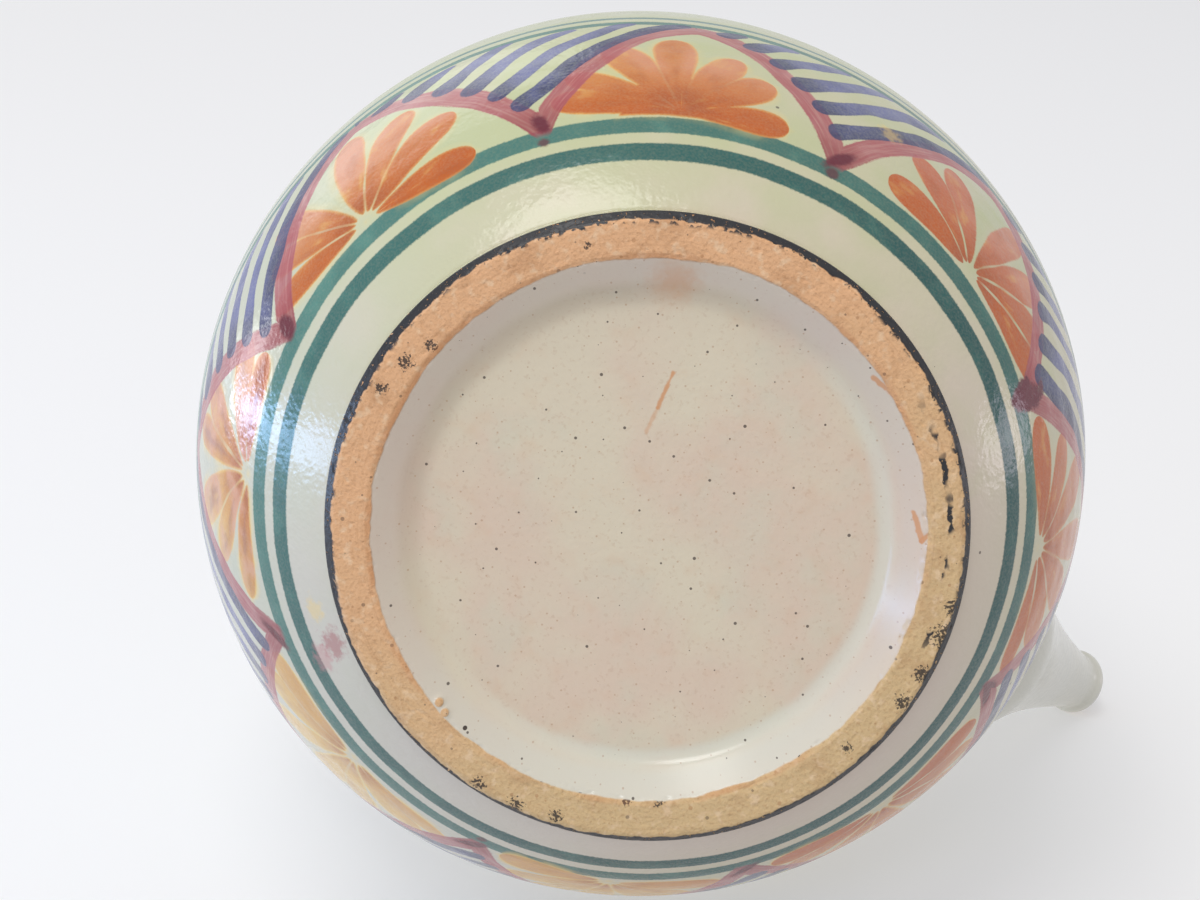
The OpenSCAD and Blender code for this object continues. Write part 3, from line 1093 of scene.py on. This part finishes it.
def spout_radius(depth, inside=0.0):
    """Radius of the trumpet at a depth behind the lip."""
    curve = SPOUT_CURVE + inside
    trumpet_x = SPOUT_TIP_R + SPOUT_CURVE * math.cos(SPOUT_TAPER)
    trumpet_z = SPOUT_CURVE * math.sin(SPOUT_TAPER)
    bulb_x = SPOUT_BASE_R - SPOUT_BULB
    bulb_z = trumpet_z - math.sqrt((SPOUT_CURVE + SPOUT_BULB) ** 2 - (trumpet_x - bulb_x) ** 2)
    touch = bulb_z + SPOUT_BULB * (trumpet_z - bulb_z) / (SPOUT_CURVE + SPOUT_BULB)
    z = -np.asarray(depth, float)
    trumpet = trumpet_x - np.sqrt(curve**2 - (z - trumpet_z) ** 2)
    bulb = bulb_x + np.sqrt(np.maximum((SPOUT_BULB - inside) ** 2 - (z - bulb_z) ** 2, 0))
    base = SPOUT_BASE_R - inside
    return np.where(z > touch, trumpet, np.where(z > bulb_z, bulb, base))


def round_spout(out, depth, turn):
    """Points round the spout's axis, at a radius and a depth behind the lip."""
    up, side, along = spout_frame()
    ring = np.cos(turn)[..., None] * up + np.sin(turn)[..., None] * side
    return SPOUT_TIP + out[..., None] * ring - depth[..., None] * along


def spout_rails(turn, inside=0.0, first=5.0, last=96.0, steps=260):
    """Lines down the spout's wall, one for each turn, from near its lip into the body."""
    depth = np.linspace(first, last, steps)
    return round_spout(spout_radius(depth, inside), depth, turn[:, None]), depth


def make_spout():
    turn = whole_turn(SPOUT_SEGMENTS)
    sunk = 1.5
    start = 6.0

    def wall(inside, count):
        rails, depth = spout_rails(turn, inside)
        end = depth[np.argmax(belly_gap(rails) + sunk < 0, axis=1)]
        deep = start + (end[:, None] - start) * np.linspace(0, 1, count) ** 0.9
        return round_spout(spout_radius(deep, inside), deep, turn[:, None]).transpose(1, 0, 2)

    lip_r = SPOUT_TIP_R - SPOUT_WALL + SPOUT_LIP_T / 2
    lip = arc((lip_r, -SPOUT_LIP_T / 2), SPOUT_LIP_T / 2, math.radians(-50), math.radians(200), 22)
    rim = round_spout(lip[:, :1], -lip[:, 1:], turn)
    outer = wall(0.0, 60)[::-1]
    inner = wall(SPOUT_WALL, 40)
    grid = np.concatenate([outer, rim, inner, outer[:1]])
    return make_plain("jug_spout", grid, "spout", plain_glaze("spout_glaze", lip_wear))


def make_spout_seam():
    rails, _ = spout_rails(whole_turn(SPOUT_SEGMENTS), first=20.0)
    middle = SPOUT_TIP - spout_frame()[2] * SPOUT_ROOT
    grid = fillet(rails, outward(rails, middle), belly_gap, SPOUT_FILLET)
    return make_plain("spout_seam", grid, "spout_coil", plain_glaze_look)


def strap_rings(shares):
    """Rings of the strap's section at shares of its length.

    Four points steer its centreline, as distances behind the jug's axis and heights.
    """
    start = neck_radius(HANDLE_TOP) - NECK_WALL / 2
    end = BELLY_OFF + math.sqrt(BELLY_CURVE**2 - (HANDLE_LOW - BELLY_Z) ** 2) - WALL / 2
    pull = (8 * HANDLE_REACH - start - end) / 6
    steer = np.array([
        [start, HANDLE_TOP],
        [pull, HANDLE_TOP + HANDLE_SPRING],
        [pull, HANDLE_LOW + HANDLE_KNEE],
        [end, HANDLE_LOW],
    ])
    t = np.asarray(shares, float)[:, None]
    back = 1 - t
    centre = np.hstack([back**3, 3 * back**2 * t, 3 * back * t**2, t**3]) @ steer
    slope = unit(np.hstack([back**2, 2 * back * t, t**2]) @ np.diff(steer, axis=0))
    turn = whole_turn(STRAP_SIDES)

    def squared(wave):
        return np.sign(wave) * np.abs(wave) ** (2 / STRAP_SQUARE)

    aside = squared(np.cos(turn))
    across = squared(np.sin(turn)) * STRAP_T / 2
    across = across - STRAP_GROOVE * np.exp(-((aside / GROOVE_SHARE) ** 2)) * (np.sin(turn) > 0)
    width = (STRAP_TOP_W + (STRAP_LOW_W - STRAP_TOP_W) * t) / 2
    return np.stack([
        -(centre[:, :1] - across * slope[:, 1:]),
        width * aside,
        centre[:, 1:] + across * slope[:, :1],
    ], -1)


def make_handle():
    rings = strap_rings(np.linspace(0, 1, STRAP_STEPS))
    ends = [np.broadcast_to(ring[:-1].mean(axis=0), ring.shape) for ring in (rings[0], rings[-1])]
    grid = np.concatenate([ends[0][None], rings, ends[1][None]])
    return make_plain("jug_handle", grid, "handle", plain_glaze_look)


def make_strap_seam(name, node, gap, first, last):
    """The collar at one root of the strap, found between two shares of its length."""
    rails = strap_rings(np.linspace(first, last, SEAM_STEPS)).transpose(1, 0, 2)
    grid = fillet(rails, outward(rails, rails[:-1].mean(axis=0)), gap, STRAP_FILLET)
    return make_plain(name, grid, node, plain_glaze_look)


# Stage

TABLE_UP = Vector((-0.536, -0.820, -0.201)).normalized()
CAMERA_AT = Vector((-62.3, -74.0, -399.7)) * MM
CAMERA_AIM = Vector((-16.4, -8.7, 0.0)) * MM
CAMERA_LENS = 66.8
VIEW_AHEAD = (CAMERA_AIM - CAMERA_AT).normalized()
VIEW_RIGHT = VIEW_AHEAD.cross(TABLE_UP).normalized()
FLOOR_HALF = 3.0
FLOOR_GLOW = srgb(249, 249, 252)
TABLE_COLOUR = srgb(243, 242, 241)
TABLE_GLOW = 0.31
GROUND_COLOUR = srgb(235, 236, 238)
GROUND_GLOW = 0.42
GROUND_Z = -0.5 * MM
ROOM_COLOUR = (0.95, 0.965, 1.0, 1)
ROOM_LEVEL = 0.60
BACKDROP = srgb(218, 220, 224)
LAMP_AIM = Vector((0, 0, 60 * MM))
# Lamps: name, metres to the right, up and away from the camera, size of the oval, watts and colour.
# The windows are low: a long one at the left, a small one near the camera, a weak one at the right.
# The sill gives the jug's left side its sheen, and the bounce stands for what the table throws back.
LAMPS = (
    ("window", (-0.92, 0.03, -0.04), (0.11, 1.30), 3.7, (0.38, 0.60, 1.0)),
    ("side_window", (-0.75, 0.10, -0.65), (0.30, 0.18), 0.6, (0.25, 0.48, 1.0)),
    ("far_window", (1.0, -0.02, 0.12), (0.22, 0.30), 0.45, (0.98, 0.88, 1.0)),
    ("sill", (-0.85, 0.0, 0.42), (0.26, 0.28), 0.54, (1, 1, 1)),
    ("bounce", (-0.35, -0.80, 0.15), (0.8, 0.8), 1.6, (1.0, 0.97, 0.90)),
    ("ceiling", (-0.35, 1.5, -0.45), (1.0, 1.0), 10, (1.0, 0.985, 0.96)),
    ("skylight", (-0.12, 0.75, -0.85), (0.3, 0.3), 1.3, (1, 1, 1)),
    ("back", (-0.8, 0.9, 1.4), (1.4, 1.0), 3.0, (1, 1, 1)),
)


def make_camera():
    axes = Matrix((VIEW_RIGHT, VIEW_RIGHT.cross(VIEW_AHEAD), -VIEW_AHEAD)).transposed()
    data = bpy.data.cameras.new("camera")
    data.lens = CAMERA_LENS
    data.sensor_width = 36.0
    data.clip_start = 0.01
    camera = add_object("camera", data)
    camera.matrix_world = Matrix.Translation(CAMERA_AT) @ axes.to_4x4()
    bpy.context.scene.camera = camera


def looked_at(tree):
    """1 where the camera, a mirror or glass looks, and 0 for rays that only carry light."""
    path = add_node(tree, "LightPath")
    rays = ("Is Camera Ray", "Is Glossy Ray", "Is Transmission Ray")
    return united(Field(path.outputs[ray]) for ray in rays)


def mix_shaders(tree, share, below, above):
    node = add_node(tree, "MixShader", Fac=share)
    feed(node.inputs[1], below.outputs[0])
    feed(node.inputs[2], above.outputs[0])
    return node


def floor_look(name, colour, glow):
    """A pale matt floor that shows from its upper side alone, so that it hides no view.

    glow is how far it turns to a plain white where the camera or the glaze looks at it.
    """
    material = bpy.data.materials.new(name)
    material.use_nodes = True
    tree = material.node_tree
    tree.nodes.clear()
    matt = add_node(tree, "BsdfDiffuse", Color=colour)
    light = add_node(tree, "Emission", Color=FLOOR_GLOW, Strength=1.0)
    pale = mix_shaders(tree, looked_at(tree) * glow, matt, light)
    below = add_node(tree, "NewGeometry").outputs["Backfacing"]
    floor = mix_shaders(tree, below, pale, add_node(tree, "BsdfTransparent"))
    add_node(tree, "OutputMaterial", Surface=floor.outputs[0])
    return material


def make_floor(name, point, up, colour, glow, unseen_by):
    """A wide floor; unseen_by names the kinds of ray that pass through it."""
    corners = [(x * FLOOR_HALF, y * FLOOR_HALF, 0) for x, y in ((-1, -1), (1, -1), (1, 1), (-1, 1))]
    mesh = bpy.data.meshes.new(name)
    mesh.from_pydata(corners, [], [(0, 1, 2, 3)])
    mesh.materials.append(floor_look(name, colour, glow))
    floor = add_object(name, mesh)
    floor.matrix_world = Matrix.Translation(point) @ up.to_track_quat("Z", "Y").to_matrix().to_4x4()
    for ray in unseen_by:
        setattr(floor, "visible_" + ray, False)


def make_table(pieces):
    """The table that the jug lies on. It takes the jug's shadow and dims none of its light."""
    points = np.concatenate([[v.co for v in piece.data.vertices] for piece in pieces])
    low = (points @ np.array(TABLE_UP)).min()
    middle = Vector((0, 0, BELLY_Z * MM))
    under = middle + TABLE_UP * (low - middle.dot(TABLE_UP))
    make_floor("table", under, TABLE_UP, TABLE_COLOUR, TABLE_GLOW, ("shadow", "diffuse"))


def make_ground():
    """A pale ground under the standing jug, for views from above: it takes no part in the light."""
    up = Vector((0, 0, 1))
    unseen_by = ("shadow", "diffuse", "glossy", "transmission")
    make_floor("ground", up * GROUND_Z, up, GROUND_COLOUR, GROUND_GLOW, unseen_by)


def make_light():
    """Soft oval lamps that face the jug, placed as the camera sees them, in a pale room."""
    ahead = TABLE_UP.cross(VIEW_RIGHT)
    for name, (to_right, up, away), size, power, colour in LAMPS:
        data = bpy.data.lights.new(name, "AREA")
        data.shape = "ELLIPSE"
        data.size, data.size_y = size
        data.energy = power
        data.color = colour
        lamp = add_object(name, data)
        to_lamp = VIEW_RIGHT * to_right + TABLE_UP * up + ahead * away
        lamp.location = LAMP_AIM + to_lamp
        lamp.rotation_mode = "QUATERNION"
        lamp.rotation_quaternion = (-to_lamp).to_track_quat("-Z", "Y")
        lamp.visible_camera = False

    world = bpy.data.worlds.new("room")
    world.use_nodes = True
    tree = world.node_tree
    room = tree.nodes["Background"]
    feed(room.inputs["Color"], ROOM_COLOUR)
    feed(room.inputs["Strength"], ROOM_LEVEL)
    backdrop = add_node(tree, "Background", Color=BACKDROP)
    seen = mix_shaders(tree, looked_at(tree), room, backdrop)
    feed(tree.nodes["World Output"].inputs["Surface"], seen.outputs[0])
    bpy.context.scene.world = world


plain_glaze_look = plain_glaze("plain_glaze")
make_camera()
jug = [
    make_body(),
    make_foot(),
    make_neck(),
    make_neck_seam(),
    make_spout(),
    make_spout_seam(),
    make_handle(),
    make_strap_seam("handle_top_seam", "handle_top_coil", neck_gap, 0.3, 0.0),
    make_strap_seam("handle_low_seam", "handle_low_coil", belly_gap, 0.65, 1.0),
]
make_table(jug)
make_ground()
make_light()
bpy.context.scene.view_settings.view_transform = "Standard"
